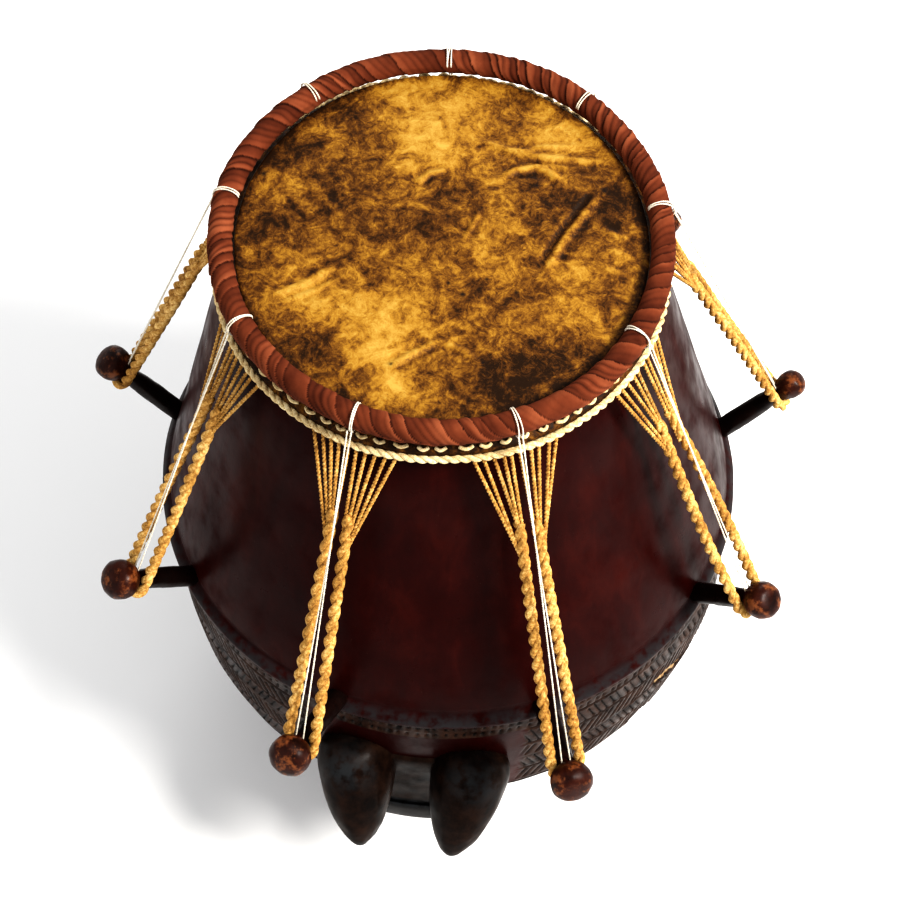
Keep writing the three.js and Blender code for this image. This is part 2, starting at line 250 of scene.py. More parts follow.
# ---- Materials -----------------------------------------------------------------------------------
class Nodes:
    """A short way to write a material's nodes."""

    def __init__(self, name):
        self.material = bpy.data.materials.new(name)
        self.material.use_nodes = True
        self.tree = self.material.node_tree
        self.shader = self.tree.nodes["Principled BSDF"]
        self.place = self.add("ShaderNodeTexCoord").outputs["Object"]

    def add(self, kind, **settings):
        node = self.tree.nodes.new(kind)
        for key, value in settings.items():
            setattr(node, key, value)
        return node

    def link(self, value, socket):
        if isinstance(value, bpy.types.NodeSocket):
            self.tree.links.new(value, socket)
        else:
            socket.default_value = value

    def noise(self, scale, detail=4.0, rough=0.55, distortion=0.0, stretch=None):
        node = self.add("ShaderNodeTexNoise")
        where = self.place
        if stretch:
            mapping = self.add("ShaderNodeMapping")
            self.link(where, mapping.inputs["Vector"])
            mapping.inputs["Scale"].default_value = stretch
            where = mapping.outputs["Vector"]
        self.link(where, node.inputs["Vector"])
        node.inputs["Scale"].default_value = scale
        node.inputs["Detail"].default_value = detail
        node.inputs["Roughness"].default_value = rough
        node.inputs["Distortion"].default_value = distortion
        return node.outputs["Fac"]

    def spots(self, scale, low, high):
        """Small round spots: 1 inside, 0 outside."""
        node = self.add("ShaderNodeTexVoronoi")
        self.link(self.place, node.inputs["Vector"])
        node.inputs["Scale"].default_value = scale
        return self.range(node.outputs["Distance"], low, high, 1, 0)

    def range(self, value, low, high, to_low=0.0, to_high=1.0):
        node = self.add("ShaderNodeMapRange", interpolation_type="SMOOTHSTEP")
        self.link(value, node.inputs["Value"])
        for key, number in (("From Min", low), ("From Max", high), ("To Min", to_low), ("To Max", to_high)):
            node.inputs[key].default_value = number
        return node.outputs["Result"]

    def tone(self, name):
        return self.add("ShaderNodeAttribute", attribute_name=name).outputs["Fac"]

    def math(self, operation, a, b=0.0):
        node = self.add("ShaderNodeMath", operation=operation)
        self.link(a, node.inputs[0])
        self.link(b, node.inputs[1])
        return node.outputs[0]

    def ramp(self, value, *stops):
        node = self.add("ShaderNodeValToRGB")
        elements = node.color_ramp.elements
        while len(elements) < len(stops):
            elements.new(0.5)
        for element, (position, colour) in zip(elements, stops):
            element.position = position
            element.color = (*colour, 1)
        self.link(value, node.inputs["Fac"])
        return node.outputs["Color"]

    def mix(self, share, a, b):
        node = self.add("ShaderNodeMix", data_type="RGBA")
        self.link(share, node.inputs["Factor"])
        for value, key in ((a, "A"), (b, "B")):
            socket = [s for s in node.inputs if s.name == key and s.type == "RGBA"][0]
            self.link(value if isinstance(value, bpy.types.NodeSocket) else (*value, 1), socket)
        return [s for s in node.outputs if s.type == "RGBA"][0]

    def bump(self, height, strength, distance, under=None):
        node = self.add("ShaderNodeBump")
        node.inputs["Strength"].default_value = strength
        node.inputs["Distance"].default_value = distance
        self.link(height, node.inputs["Height"])
        if under is not None:
            self.link(under, node.inputs["Normal"])
        return node.outputs["Normal"]

    def finish(self, colour, roughness, normal=None, **sockets):
        self.link(colour, self.shader.inputs["Base Color"])
        self.link(roughness, self.shader.inputs["Roughness"])
        if normal is not None:
            self.link(normal, self.shader.inputs["Normal"])
        for key, value in sockets.items():
            self.link(value, self.shader.inputs[key.replace("_", " ")])
        return self.material


def lacquered_wood():
    """Dark red lacquer, greyed on worn edges and by grey painted highlights, brown and black in the carving
    and in painted shade, pale where it split.
    """
    n = Nodes("lacquered_shell_wood")
    broad = n.noise(9, 5, 0.6)
    grain = n.noise(60, 6, 0.6, 0.4, stretch=(1, 1, 0.12))
    cloudy = n.math("ADD", n.math("MULTIPLY", broad, 0.6), n.math("MULTIPLY", grain, 0.4))
    red = n.ramp(cloudy, (0.25, (0.007, 0.0005, 0.0004)), (0.5, (0.022, 0.0016, 0.0010)),
                 (0.75, (0.052, 0.006, 0.0032)))
    rubbed = n.ramp(n.noise(75, 5, 0.65), (0.35, (0.006, 0.0032, 0.0024)), (0.7, (0.055, 0.026, 0.016)))
    # The carving tone darkens the carving, and the apron's face below its lip as painted shade
    colour = n.mix(n.range(n.tone("carving_and_shade"), 0.05, 0.3), red, rubbed)
    colour = n.mix(n.range(n.tone("carving_and_shade"), 0.35, 0.8), colour, (0.003, 0.0015, 0.001))
    # The edge tone greys worn edges on the ridge and paints grey highlights on the breasts' upper sides and
    # the apron's lip
    worn = n.math("MULTIPLY", n.tone("edge"), n.range(n.noise(120, 4), 0.3, 0.6))
    colour = n.mix(worn, colour, (0.026, 0.028, 0.030))
    scratch = n.range(n.noise(900, 2, 0.5, 0, stretch=(1, 1, 0.015)), 0.72, 0.78, 0, 0.4)
    speck = n.math("MULTIPLY", n.spots(260, 0.05, 0.09), n.range(n.noise(30), 0.55, 0.65))
    marks = n.math("MULTIPLY", n.math("MAXIMUM", scratch, speck), 0.2)
    colour = n.mix(marks, colour, (0.20, 0.13, 0.09))
    bare = n.ramp(n.noise(220, 6, 0.7, 0, stretch=(1, 1, 0.4)),
                  (0.3, (0.10, 0.05, 0.025)), (0.5, (0.32, 0.21, 0.11)), (0.7, (0.55, 0.42, 0.26)))
    colour = n.mix(n.range(n.tone("bare"), 0.35, 0.6), colour, bare)
    dull = n.math("ADD", n.noise(40, 5), n.math("MULTIPLY", n.tone("bare"), 0.6))
    rough = n.range(dull, 0.3, 1.0, 0.27, 0.8)
    normal = n.bump(n.math("ADD", n.noise(25, 5), n.math("MULTIPLY", grain, 0.5)), 0.25, 0.0012)
    normal = n.bump(n.noise(700, 3), 0.12, 0.0002, normal)
    return n.finish(colour, rough, normal, Specular_IOR_Level=0.05)


def peg_wood():
    """Red-brown knobs rubbed to orange in places, and near-black shafts."""
    n = Nodes("worn_peg_wood")
    grain = n.noise(90, 6, 0.6, 0.6)
    base = n.ramp(grain, (0.3, (0.009, 0.0018, 0.001)), (0.55, (0.034, 0.007, 0.003)),
                  (0.8, (0.075, 0.02, 0.008)))
    rubbed = n.math("MULTIPLY", n.tone("worn"), n.range(n.noise(110, 5, 0.65), 0.50, 0.66))
    colour = n.mix(n.math("MULTIPLY", rubbed, 0.8), base, (0.22, 0.075, 0.025))
    colour = n.mix(n.tone("dark"), colour, (0.004, 0.002, 0.0016))
    rough = n.range(n.noise(60, 4), 0.3, 0.7, 0.25, 0.5)
    normal = n.bump(n.noise(160, 5), 0.35, 0.0009)
    return n.finish(colour, rough, normal, Specular_IOR_Level=0.16)


def rawhide():
    """Golden hide mottled with dark brown at three scales, with small pits and holes."""
    n = Nodes("mottled_rawhide")
    cloud = n.noise(16, 6, 0.62, 0.5)
    blotch = n.noise(60, 8, 0.72, 1.0)
    speck = n.noise(200, 8, 0.85, 0.8)
    value = n.math("ADD", n.math("MULTIPLY", cloud, 0.26), n.math("MULTIPLY", blotch, 0.38))
    value = n.math("ADD", value, n.math("MULTIPLY", speck, 0.36))
    # The light tone adds the hide's lighter and darker areas, and painted highlight and shade on the folds,
    # along the hoop and under it
    value = n.math("ADD", value, n.math("MULTIPLY", n.tone("light"), 0.07))
    colour = n.ramp(value, (0.42, (0.018, 0.007, 0.0015)), (0.47, (0.085, 0.032, 0.005)),
                    (0.51, (0.18, 0.080, 0.010)), (0.555, (0.32, 0.165, 0.020)), (0.64, (0.44, 0.28, 0.062)))
    pit = n.math("MULTIPLY", n.spots(420, 0.10, 0.2), n.range(n.noise(70), 0.45, 0.6))
    colour = n.mix(n.math("MULTIPLY", pit, 0.55), colour, (0.05, 0.02, 0.006))
    colour = n.mix(n.tone("hole"), colour, (0.006, 0.004, 0.004))
    rough = n.range(speck, 0.3, 0.7, 0.42, 0.68)
    normal = n.bump(blotch, 0.3, 0.0012)
    normal = n.bump(speck, 0.45, 0.0005, normal)
    return n.finish(colour, rough, normal, Specular_IOR_Level=0.12)


def hoop_cloth():
    """Terracotta cloth, with painted shade in the creases and painted highlight on the high turns."""
    n = Nodes("wrapped_cloth")
    fade = n.noise(30, 5, 0.6)
    # The high tone paints a highlight on the raised turns
    colour = n.ramp(n.math("ADD", n.math("MULTIPLY", fade, 0.7), n.math("MULTIPLY", n.tone("high"), 0.3)),
                    (0.25, (0.060, 0.014, 0.006)), (0.5, (0.145, 0.038, 0.016)), (0.75, (0.28, 0.09, 0.040)))
    # Painted shade in the creases
    colour = n.mix(n.tone("painted_crease_shade"), colour, (0.010, 0.003, 0.002))
    normal = n.bump(n.noise(1500, 2), 0.5, 0.0003)
    normal = n.bump(n.noise(220, 4, 0.6), 0.4, 0.0007, normal)
    return n.finish(colour, 0.9, normal, Specular_IOR_Level=0.1)


def cord_fibre(name, dark, middle, pale, scale=420):
    """Fibres in three tones, from dark through middle to pale, spread by noise."""
    n = Nodes(name)
    tint = n.noise(scale, 5, 0.7, 0.3)
    slow = n.noise(35, 3)
    value = n.math("ADD", n.math("MULTIPLY", tint, 0.65), n.math("MULTIPLY", slow, 0.35))
    colour = n.ramp(value, (0.32, dark), (0.5, middle), (0.68, pale))
    normal = n.bump(n.noise(scale * 2.2, 4, 0.7), 0.7, 0.0006)
    return n.finish(colour, 0.8, normal, Specular_IOR_Level=0.2)


SHELL_WOOD = lacquered_wood()
PEG_WOOD = peg_wood()
RAWHIDE = rawhide()
HOOP_CLOTH = hoop_cloth()
JUTE = cord_fibre("twisted_jute", (0.10, 0.035, 0.007), (0.48, 0.26, 0.065), (0.92, 0.68, 0.30))
CREAM_CORD = cord_fibre("cream_cord", (0.30, 0.17, 0.06), (0.70, 0.55, 0.30), (0.95, 0.86, 0.62), 520)
WHITE_STRING = cord_fibre("white_string", (0.45, 0.38, 0.28), (0.78, 0.72, 0.60), (0.95, 0.92, 0.84), 700)


# ---- Shell ---------------------------------------------------------------------------------------
def hand_carved(points, size=0.7, seed=3):
    """Moves points out or in a little, as an adze leaves them."""
    outward = points.copy()
    outward[..., 2] = 0
    outward /= np.maximum(np.linalg.norm(outward, axis=-1, keepdims=True), 1e-6)
    return points + outward * (size * ripple(points, 120, seed))[..., None]


def shell():
    """The turned wall above the band, the inside, and the foot below the band."""
    columns = 288
    outer_foot = smooth([(FOOT_R, 8), (103, 34), (94, 66), (104, 97), (150, 123), (192, 142)], 44)
    outer_wall = smooth([(211, 306), (202, 338), (184, 396), (166, 454), (148, 512), (RIM_R, 548)], 62)
    inner_wall = smooth([(RIM_R - WALL, HEAD_Z - 24), (149, 454), (186, 338), (196, 291), (194, 190)], 16)
    inner_foot = smooth([(184, 160), (146, 140), (92, 110), (78, 70), (88, 30), (FOOT_INNER_R, 0)], 16)
    lower = [(FOOT_INNER_R + 1, 0), (FOOT_R - 1.5, 0), (FOOT_R, 1.5), *outer_foot,
             (BAND_LOW_R - 4, BAND_LOW_Z - 4), (BAND_LOW_R - 1.2, BAND_LOW_Z - 1)]
    upper = [(BAND_TOP_R - 1, BAND_TOP_Z), (BAND_TOP_R + 1, BAND_TOP_Z + 1),
             (RIDGE_R - 1.4, BAND_TOP_Z + 3.6), (RIDGE_R - 0.3, BAND_TOP_Z + 5),
             (RIDGE_R, RIDGE_Z - 4), (RIDGE_R - 0.4, RIDGE_Z - 1), (RIDGE_R - 4.6, RIDGE_Z + 3.4),
             (RIDGE_R - 6.6, RIDGE_Z + 4.6), (RIDGE_R - 7.6, RIDGE_Z + 6.2),
             *outer_wall[1:], (RIM_R, HEAD_Z + RIM_TOP - 1), (RIM_R - 1, HEAD_Z + RIM_TOP),
             (RIM_R - WALL + 1, HEAD_Z + RIM_TOP), *inner_wall, *inner_foot]
    parts, edges = [], []
    for profile in (lower, upper):
        points = lean(hand_carved(revolve(profile, columns)))
        height = np.array(profile)[:, 1:] + np.zeros((1, columns))
        edges.append((np.exp(-((height - RIDGE_Z - 0.5) / 4.2) ** 2) * 0.9).ravel())
        parts.append((points.reshape(-1, 3), grid_faces(len(profile), columns)))
    points, faces = merge(parts)
    edge = np.concatenate(edges)
    still = np.zeros(len(points))
    piece = to_mesh("shell_wall", points, faces, SHELL_WOOD, {"edge": edge, "carving_and_shade": still, "bare": still})
    belongs(piece, "shell_wood", "drum_shell")


BAND_MIDDLE_R = 214
# Rows of the band: height, length, pitch, slant, width, depth and seed of their strokes
STROKE_ROWS = [
    (281, 6.5, 6.8, 0.05, 3.6, 1.8, 11), (271.5, 6.5, 6.8, 0.1, 3.6, 1.8, 12),
    (251, 24, 6.6, -0.36, 3.2, 2.2, 13), (225, 22, 6.6, 0.4, 3.2, 2.2, 14),
    (199, 23, 6.6, -0.4, 3.2, 2.2, 15), (172, 24, 6.8, 0.36, 3.2, 2.2, 16),
]
GROOVES_Z = [265.5, 238, 212, 185.5, 157.5]
GROOVE_DEPTH = 1.5
BULGE, BULGE_AT, BULGE_HALF_ANGLE = 8, 78, 24
CHIP_AT, CHIP_DEPTH = 49, 9
SPLIT_AT, SPLIT_Z = 61, 200


def strokes(along, height, row_z, tall, pitch, slant, width, seed):
    """Depth, from 0 to 1, of a row of hand-cut strokes. along runs round the band in millimetres."""
    rng = np.random.default_rng(seed)
    count = int(round(TAU * BAND_MIDDLE_R / pitch))
    shift = along - slant * (height - row_z)
    index = np.floor(shift / pitch).astype(int) % count
    middle = (0.5 + rng.uniform(-0.16, 0.16, count))[index]
    reach = (rng.uniform(0.8, 1.05, count) * tall / 2)[index]
    deep = rng.uniform(0.65, 1.0, count)[index]
    off = np.abs((shift / pitch) % 1 - middle) * pitch
    across = np.clip(1 - off / (width / 2), 0, 1)
    ends = np.clip((reach - np.abs(height - row_z)) / 1.2, 0, 1)
    return across * ends * deep


def notched_band():
    """The band under the ridge, with its rows of notches, and the damage on its right."""
    columns, rows = 1180, 72
    t = np.linspace(0, 1, rows)
    z = (BAND_LOW_Z + t * (BAND_TOP_Z + 0.8 - BAND_LOW_Z))[:, None]
    degrees = np.linspace(-180, 180, columns, endpoint=False)[None]
    radius = BAND_LOW_R + (BAND_TOP_R - BAND_LOW_R) * t[:, None] + 2.2 * np.sin(math.pi * t)[:, None]
    radius = radius - 3.0 * np.clip(1 - t / 0.05, 0, 1)[:, None] ** 2
    bulge = np.exp(-((degrees - BULGE_AT) / BULGE_HALF_ANGLE) ** 2)
    radius = radius + BULGE * bulge * np.sin(math.pi * (0.2 + 0.8 * t))[:, None]
    z, degrees, radius = np.broadcast_arrays(z, degrees, radius)
    along = np.radians(degrees + 180) * BAND_MIDDLE_R
    cut = np.zeros(z.shape)
    for row_z, tall, pitch, slant, width, depth, seed in STROKE_ROWS:
        cut = np.maximum(cut, depth * strokes(along, z, row_z, tall, pitch, slant, width, seed))
    wander = 0.8 * np.sin(along / 61) + 0.5 * np.sin(along / 23 + 1)
    for groove_z in GROOVES_Z:
        cut = np.maximum(cut, GROOVE_DEPTH * np.clip(1 - np.abs(z - groove_z - wander) / 1.3, 0, 1))
    beside = np.abs(degrees - BREASTS_AT)
    plain = np.clip((beside - PLAIN_HALF_ANGLE + 3) / 2, 0, 1)
    cut *= np.where(z > DOTS_FROM_Z, 1, plain)
    # Where a piece has broken out of the lower edge, and the bare wood of the split above it
    flat = around(radius, degrees, z)
    ragged = ripple(flat, 22, 21) * 5
    chip = np.clip((13 + ragged - np.hypot((degrees - CHIP_AT) * 3.7, (z - BAND_LOW_Z) * 1.1)) / 6, 0, 1)
    split = np.clip((8.5 + ragged - np.abs(z - SPLIT_Z + (degrees - 58) * 1.3) * 0.9) / 5, 0, 1)
    split *= np.clip((13 - np.abs(degrees - SPLIT_AT)) / 5, 0, 1)
    radius = radius - cut * (1 - split) - CHIP_DEPTH * chip - split * (3.4 + 1.2 * ripple(flat, 7, 22))
    points = hand_carved(around(radius, degrees, z))
    carving_and_shade = np.clip(0.25 + 0.4 * cut, 0, 1) * np.where(z > DOTS_FROM_Z, 1, plain)
    # Rows that close the band against the wall above and the underside below
    low_in = hand_carved(around(BAND_LOW_R - 14, degrees[0], BAND_LOW_Z - 1))
    top_in = hand_carved(around(BAND_TOP_R - 8, degrees[0], BAND_TOP_Z + 0.8))
    points = np.concatenate([low_in[None], points, top_in[None]])
    pad = np.zeros((1, columns))
    tones = {"edge": np.zeros(points.shape[:2]), "carving_and_shade": np.concatenate([pad, carving_and_shade, pad]),
             "bare": np.concatenate([pad, np.clip(split + 0.5 * chip, 0, 1), pad])}
    piece = to_mesh("notched_band", points, grid_faces(rows + 2, columns), SHELL_WOOD, tones)
    belongs(piece, "shell_wood")


def breast(name, side):
    """A pointed breast, widest near the wall, with a grey painted highlight on its upper side near the wall.
    """
    root = around(BAND_LOW_R - 6, BREASTS_AT + side * BREAST_SPREAD, BREAST_ROOT_Z)
    tip = around(BREAST_TIP_R, BREASTS_AT + side * BREAST_TIP_SPREAD, BREAST_TIP_Z)
    length = np.linalg.norm(tip - root)
    forward = (tip - root) / length
    sideways = around(1, BREASTS_AT + side * BREAST_SPREAD + 90, 0)
    upward = np.cross(forward, sideways)
    upward /= np.linalg.norm(upward)
    across = np.cross(upward, forward)
    rows, columns = 80, 96
    outline = smooth([(0.5, 0), (0.86, 0.07), (1, 0.2), (0.965, 0.37), (0.85, 0.56), (0.64, 0.76),
                      (0.40, 0.90), (0.17, 0.98), (0.0, 1.0)], rows - 1)
    angle = np.linspace(0, TAU, columns, endpoint=False)[None]
    # Shallow facets that turn a little along the length, as left by a blade
    facet_count = 11
    turn = angle + 0.35 * outline[:, 1:] + 0.3 * side
    facet = np.cos(math.pi / facet_count) / np.cos((turn % (TAU / facet_count)) - math.pi / facet_count)
    radius = outline[:, :1] * BREAST_HALF_WIDTH * (0.72 + 0.28 * facet)
    points = root + forward * (outline[:, 1:, None] * length)
    points = points + (radius * np.cos(angle))[..., None] * across
    points = points + (BREAST_TALLNESS * radius * np.sin(angle))[..., None] * upward
    points = points + forward * (0.8 * ripple(points, 24, 31 + side))[..., None]
    faces = grid_faces(rows, columns)
    faces.append(list(range(columns))[::-1])
    # A grey painted highlight on the upper side near the root, carried in the edge tone
    high = np.exp(-((outline[:, 1:] - 0.22) / 0.16) ** 2) * np.clip(np.sin(angle) - 0.6, 0, 1) * 2.2
    dark = np.full(points.shape[:2], 0.62)
    tones = {"edge": np.clip(high, 0, 1), "carving_and_shade": dark, "bare": np.zeros(dark.shape)}
    belongs(to_mesh(name, points, faces, SHELL_WOOD, tones), "shell_wood")


def apron():
    """The plain block between the breasts: a curved front with a moulding along its lower edge, a grey
    painted highlight along the moulding and painted shade on the face below.
    """
    columns, half = 60, 13
    degrees = np.linspace(BREASTS_AT - half, BREASTS_AT + half, columns)[None]
    outline = smooth([(196, 119), (212, 119), (217, 120), (219, 124), (219.4, 140), (218, APRON_LIP_Z),
                      (216, 150), (216, 200), (216, 224), (212, 229), (200, 230)], 54)
    points = hand_carved(around(outline[:, :1], degrees, outline[:, 1:]))
    rows = len(outline)
    faces = grid_faces(rows, columns, wrap_columns=False)
    faces.append([r * columns for r in range(rows)])
    faces.append([r * columns + columns - 1 for r in range(rows)][::-1])
    # A grey painted highlight along the moulding, carried in the edge tone
    edge = np.exp(-((outline[:, 1:] - APRON_LIP_Z) / 3.5) ** 2) * 0.9 + np.zeros((1, columns))
    # Painted shade on the face below 150 mm; the panel above keeps a dark tone
    shade = np.where(outline[:, 1:] < 150, 1.0, 0.6) + np.zeros((1, columns))
    tones = {"edge": edge, "carving_and_shade": shade, "bare": np.zeros(edge.shape)}
    belongs(to_mesh("apron", points, faces, SHELL_WOOD, tones), "shell_wood")


# ---- Head ----------------------------------------------------------------------------------------
def near_path(x, y, path):
    """Distance of points from a bent line, and how far along it they lie, from 0 to 1."""
    best = np.full(x.shape, 1e9)
    share = np.zeros(x.shape)
    path = np.array(path, float)
    for i in range(len(path) - 1):
        a, b = path[i], path[i + 1]
        d = b - a
        t = np.clip(((x - a[0]) * d[0] + (y - a[1]) * d[1]) / (d @ d), 0, 1)
        gap = np.hypot(x - a[0] - t * d[0], y - a[1] - t * d[1])
        share = np.where(gap < best, (i + t) / (len(path) - 1), share)
        best = np.minimum(best, gap)
    return best, share


# Folds of the hide in the head's own plane: points, half width and height, both in millimetres
FOLDS = [
    ([(21, 79), (42, 72), (65, 67), (85, 65), (108, 64)], 2.4, 1.1),
    ([(40, 70), (66, 75), (92, 77)], 2.0, 0.7),
    ([(34, 48), (46, 56), (59, 58), (70, 54), (76, 46)], 2.6, 1.5),
    ([(50, 61), (75, 60), (104, 58)], 1.8, 0.7),
    ([(103, 42), (91, 23), (78, 2), (64, -27)], 2.8, 1.4),
    ([(97, 43), (85, 24), (72, 3), (60, -22)], 2.0, -0.9),
    ([(-30, -95), (-16, -85), (1, -75)], 2.2, 1.2),
    ([(2, -76), (16, -82), (25, -90)], 1.8, 0.7),
    ([(13, -2), (20, 14), (24, 24)], 1.8, 0.7),
    ([(-107, -47), (-88, -38), (-66, -22)], 2.4, 1.1),
    ([(-101, -52), (-84, -44), (-60, -30)], 1.8, 0.7),
    ([(-20, 42), (-10, 51), (2, 54)], 2.2, 1.1),
    ([(70, 88), (82, 100)], 1.5, 0.7),
    ([(104, 10), (120, 4)], 2.2, 0.8),
    ([(106, -4), (122, -10)], 2.2, 0.8),
    ([(102, -18), (120, -24)], 2.2, 0.8),
]
# Lighter (positive) and darker areas of the hide: place, size and strength
AREAS = [
    (-36, -84, 14, 1.0), (-13, -118, 12, 0.9), (-30, -108, 10, 0.9), (-82, -38, 18, 0.7),
    (-19, 112, 30, 0.8), (-4, 90, 22, 0.8), (88, 73, 24, 0.9), (-25, -55, 22, 0.8), (-60, -50, 16, 0.8),
    (65, 96, 22, 0.6), (75, -50, 22, 0.5), (110, -60, 16, 0.6), (-76, 67, 18, 0.3), (20, -82, 16, 0.6),
    (100, -5, 14, 0.6), (-79, -85, 15, -1.3), (42, -100, 26, -1.3), (78, -84, 20, -1.2),
    (14, -112, 14, -0.6), (-60, -112, 14, -0.8), (-109, 5, 26, -0.6), (62, 18, 22, -0.7),
    (112, 26, 12, -0.8), (-59, 18, 20, -0.5), (48, 108, 12, -0.3), (-100, 60, 26, -0.6),
    (-60, 92, 18, -0.7), (8, 20, 18, -0.4), (58, 50, 9, -0.7), (5, 44, 12, -0.5), (-46, -100, 9, -0.8),
    (-100, -70, 9, -0.4),
]
# Small dark holes: place and radius
HIDE_HOLES = [(14, -41, 1.8), (5, -33, 1.2), (48, -38, 1.5), (29, -29, 1.2), (-29, -93, 1.3),
              (104, 42, 2.4), (-118, 47, 2.2), (28, -90, 1.4), (60, 44, 1.6)]


def head():
    """The hide: its folded and mottled top, with painted highlight and shade on the folds and painted shade
    along and under the hoop, and the skirt that shows under the hoop.
    """
    columns = 400
    round_edge = [SKIRT_R - 0.7, SKIRT_R - 0.2, SKIRT_R]
    rings = np.concatenate([[0.01], np.linspace(1.2, SKIRT_R - 1.5, 128), round_edge])
    degrees = np.linspace(-180, 180, columns, endpoint=False)[None]
    flat = around(rings[:, None], degrees, 0)
    x, y = flat[..., 0], flat[..., 1]
    rise = 0.45 * ripple(flat, 70, 41) + 0.12 * ripple(flat, 14, 42)
    for path, width, height in FOLDS:
        gap, share = near_path(x, y, path)
        fade = np.clip(np.minimum(share, 1 - share) * 5, 0.15, 1)
        crest = np.exp(-(gap / width) ** 2) - 0.55 * np.exp(-((gap - 1.9 * width) / width) ** 2)
        rise += height * fade * crest
    inside = np.clip((SKIRT_R - rings) / 18, 0, 1)[:, None]
    edge_drop = np.clip((rings - (SKIRT_R - 1.5)) / 1.5, 0, 1)[:, None] ** 2
    z = HIDE_TOP - 0.6 + rise * inside - 0.48 * (1 - inside) - edge_drop
    light = np.zeros(x.shape)
    for cx, cy, size, strength in AREAS:
        light += strength * np.exp(-(((x - cx) ** 2 + (y - cy) ** 2) / size ** 2))
    # Painted highlight on the fold crests and painted shade in the furrows beside them
    light += np.clip(rise * 0.7, -0.8, 0.9) * inside
    # Painted shade in a ring along the hoop's inner edge
    light -= 0.8 * np.exp(-(((SKIRT_R - rings[:, None]) / 5) ** 2))
    hole = np.zeros(x.shape)
    for cx, cy, size in HIDE_HOLES:
        hole = np.maximum(hole, np.clip(1.3 - np.hypot(x - cx, y - cy) / size, 0, 1))
    top = np.stack([x, y, z], -1)
    # The skirt passes inside the hoop and flares out under it to the edge that the cord holds
    skirt = np.array([(SKIRT_R, -6), (SKIRT_R, -12), (SKIRT_R + 0.3, -15), (SKIRT_R + 3, -17.5),
                      (SKIRT_R + 8, -19.6), (FLAP_R - 1.5, -21.4), (FLAP_R, -23.2), (FLAP_R - 0.6, -23.9),
                      (FLAP_R - 2.4, -22.9), (SKIRT_R + 6, -20.8), (SKIRT_R + 1, -18.2)])
    low = around(skirt[:, :1], degrees, skirt[:, 1:])
    frill = np.linspace(0, 1, len(skirt))[:, None] * 0.5
    low[..., 2] += frill * ripple(low, 16, 43)
    points = in_head(np.concatenate([top, low]))
    # The skirt under the hoop is darkened as painted shade
    painted_shade_under_hoop = np.full(low.shape[:2], -0.9)
    rows = len(rings) + len(skirt)
    faces = [face[::-1] for face in grid_faces(rows, columns)]
    piece = to_mesh("rawhide_head", points, faces, RAWHIDE,
                    {"light": np.concatenate([light, painted_shade_under_hoop]),
                     "hole": np.concatenate([hole, np.zeros(low.shape[:2])])})
    belongs(piece, "rawhide", "drum_head")


# ---- Hoop ----------------------------------------------------------------------------------------
def hoop():
    """The hoop under its cloth strip, wound on a slant in turns of uneven width."""
    columns, rows = 1500, 44
    rng = np.random.default_rng(51)
    around_hoop = np.linspace(-180, 180, columns, endpoint=False)[:, None]
    tube_angle = np.linspace(0, TAU, rows, endpoint=False)[None]   # 0 faces outward, a quarter turn up
    along = np.radians(around_hoop + 180) * HOOP_R
    total = TAU * HOOP_R
    # Each turn of the cloth strip starts at its own distance along the hoop and overlaps the one before
    widths = rng.choice([6, 8, 11, 14, 19, 25], 90) * rng.uniform(0.8, 1.2, 90)
    starts = np.cumsum(widths)
    starts = starts[starts < total - 6]
    slant = 13.0
    bend = 0.9 * np.sin(tube_angle + 0.7) + 0.35 * np.sin(2 * tube_angle)
    run = (along + slant * (tube_angle - math.pi * 0.5) / 2.2 + 2 * bend) % total
    edges = np.concatenate([[0], starts, [total]])
    index = np.searchsorted(edges, run.ravel(), side="right").reshape(run.shape) - 1
    index = np.clip(index, 0, len(edges) - 2)
    gap = run - edges[index]
    width = edges[index + 1] - edges[index]
    t = gap / width
    lift = rng.uniform(0.35, 1.0, len(edges))[index]
    relief = lift * (1.3 * t ** 1.6) - 0.5
    # Painted shade along the overlapping edge of each turn
    painted_crease_shade = np.exp(-gap ** 2) * (0.3 + 0.9 * lift)
    # Puckers that run with the strip
    wrinkle_size = rng.uniform(0.0, 1.0, len(edges))[index]
    phase = rng.uniform(0, TAU, len(edges))[index]
    pucker = np.sin(gap * 1.15 + phase + 1.2 * np.sin(tube_angle * 2 + phase))
    relief += 0.30 * wrinkle_size * pucker * np.sin(math.pi * t)
    # Painted shade in the pucker folds too
    fold = 2.24 * wrinkle_size * np.clip(-pucker - 0.72, 0, 1) * np.sin(math.pi * t)
    painted_crease_shade = np.maximum(painted_crease_shade, fold)
    radius = HOOP_TUBE_R - 0.25 + relief * 0.9
    turned = np.radians(around_hoop)
    wobble = 0.8 * np.sin(turned * 3 + 0.4) + 0.5 * np.sin(turned * 7 + 2)
    ring = HOOP_R - 0.4 + 0.6 * wobble
    # The inner side lies flat against the hide's skirt
    inner = np.cos(tube_angle) < 0
    radius = np.where(inner, np.minimum(radius, HOOP_TUBE_R + 0.2), radius)
    r = np.maximum(ring + radius * np.cos(tube_angle), SKIRT_R + 0.15)
    points = in_head(around(r, around_hoop, radius * np.sin(tube_angle)))
    faces = grid_faces(columns, rows, wrap_rows=True)
    # Painted highlight on the raised turns in the high tone, painted shade in the crease tone
    tones = {"painted_crease_shade": np.clip(painted_crease_shade, 0, 1), "high": np.clip(0.5 + relief, 0, 1)}
    belongs(to_mesh("wrapped_hoop", points, faces, HOOP_CLOTH, tones), "hoop_cloth", "hoop")


